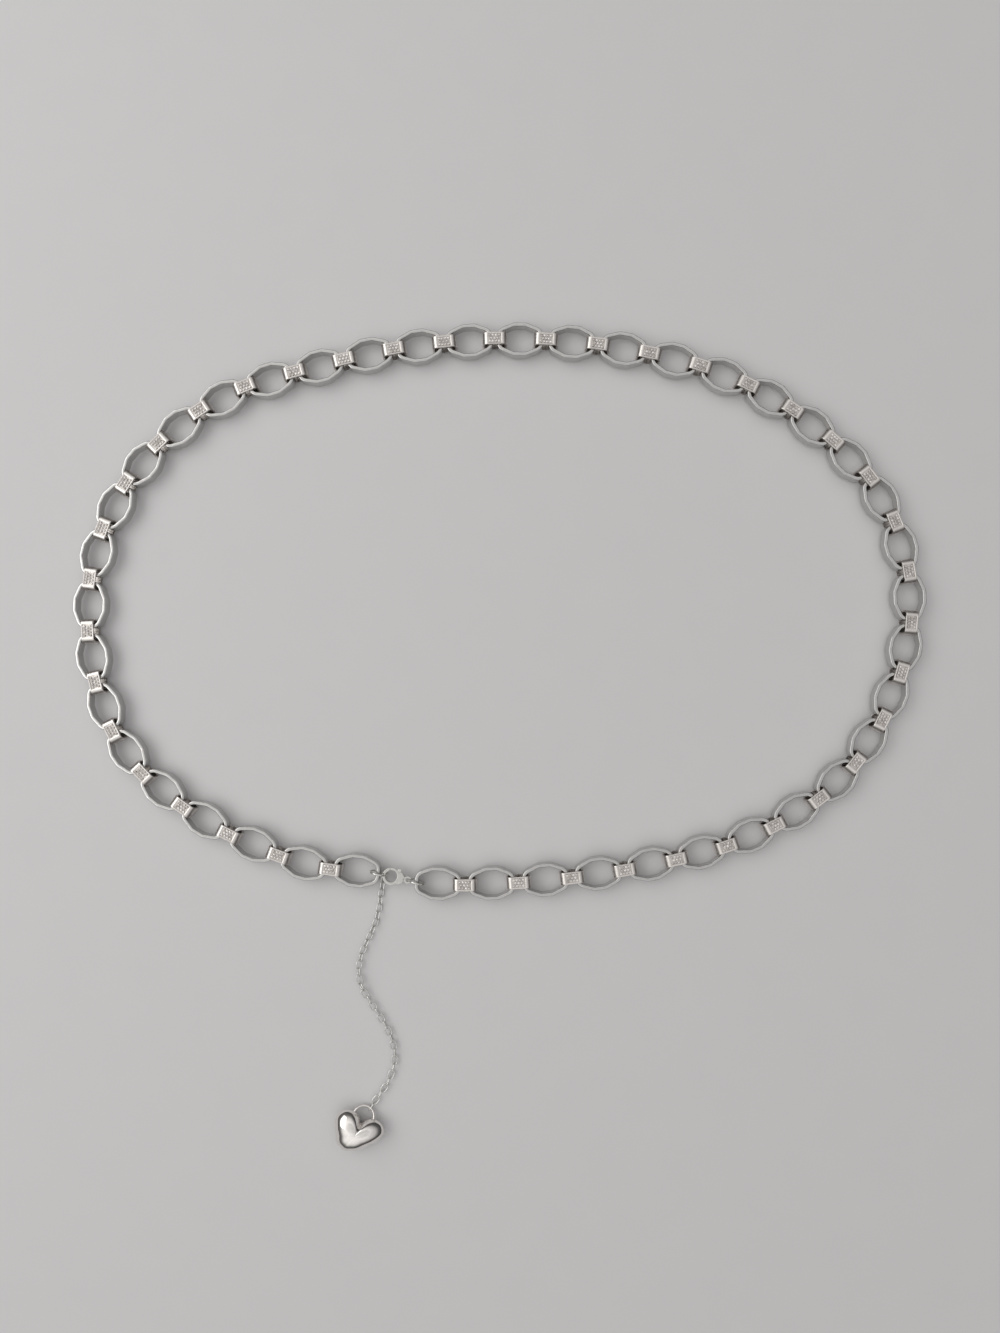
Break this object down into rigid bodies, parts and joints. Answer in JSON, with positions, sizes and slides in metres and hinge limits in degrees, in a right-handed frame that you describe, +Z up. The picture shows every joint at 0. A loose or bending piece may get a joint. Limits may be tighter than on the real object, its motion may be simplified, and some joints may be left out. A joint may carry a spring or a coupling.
{
  "type": "waist chain",
  "caption": "Silver-tone waist chain of oval rings on edge joined by stone-set bands, with a lobster clasp and a puffed heart on a fine drop chain",
  "frame": {"origin": "middle of the whole piece's footprint, on the surface it lies on", "axes": "+X across the loop from left to right, +Y away from the heart, +Z up from the surface"},
  "size_m": [0.3412, 0.3316, 0.009],
  "materials": {
    "rings": "polished silver-tone plating",
    "bands": "polished silver-tone plating, set with clear stones",
    "clasp": "polished silver-tone plating",
    "fine_chain": "polished silver-tone wire",
    "heart": "high polish silver-tone"
  },
  "bodies": {
    "chain": {"ring_01": "rings", "ring_02": "rings", "ring_03": "rings", "ring_04": "rings", "ring_05": "rings", "ring_06": "rings", "ring_07": "rings", "ring_08": "rings", "ring_09": "rings", "ring_10": "rings", "ring_11": "rings", "ring_12": "rings", "ring_13": "rings", "ring_14": "rings", "ring_15": "rings", "ring_16": "rings", "ring_17": "rings", "ring_18": "rings", "ring_19": "rings", "ring_20": "rings", "ring_21": "rings", "ring_22": "rings", "ring_23": "rings", "ring_24": "rings", "ring_25": "rings", "ring_26": "rings", "ring_27": "rings", "ring_28": "rings", "ring_29": "rings", "ring_30": "rings", "ring_31": "rings", "ring_32": "rings", "ring_33": "rings", "ring_34": "rings", "ring_35": "rings", "ring_36": "rings", "ring_37": "rings", "ring_38": "rings", "ring_39": "rings", "ring_40": "rings", "ring_41": "rings", "ring_42": "rings", "bands": "bands", "left_jump_ring": "clasp", "right_jump_ring": "clasp", "clasp_body": "clasp", "drop_top_link": "fine_chain", "drop_chain_upper": "fine_chain", "drop_join_ring": "fine_chain", "drop_chain_lower": "fine_chain", "heart_pendant": "heart"},
    "lever": {"clasp_lever": "clasp"}
  },
  "joints": [
    {"name": "lever_hinge", "type": "hinge", "parent": "chain", "child": "lever", "pos_m": [-0.03973, -0.05501, 0.0038], "axis": [0, 0, 1], "range_deg": [0, 26], "stiffness_Nm_per_rad": 0.004, "springref_deg": -14.32}
  ]
}
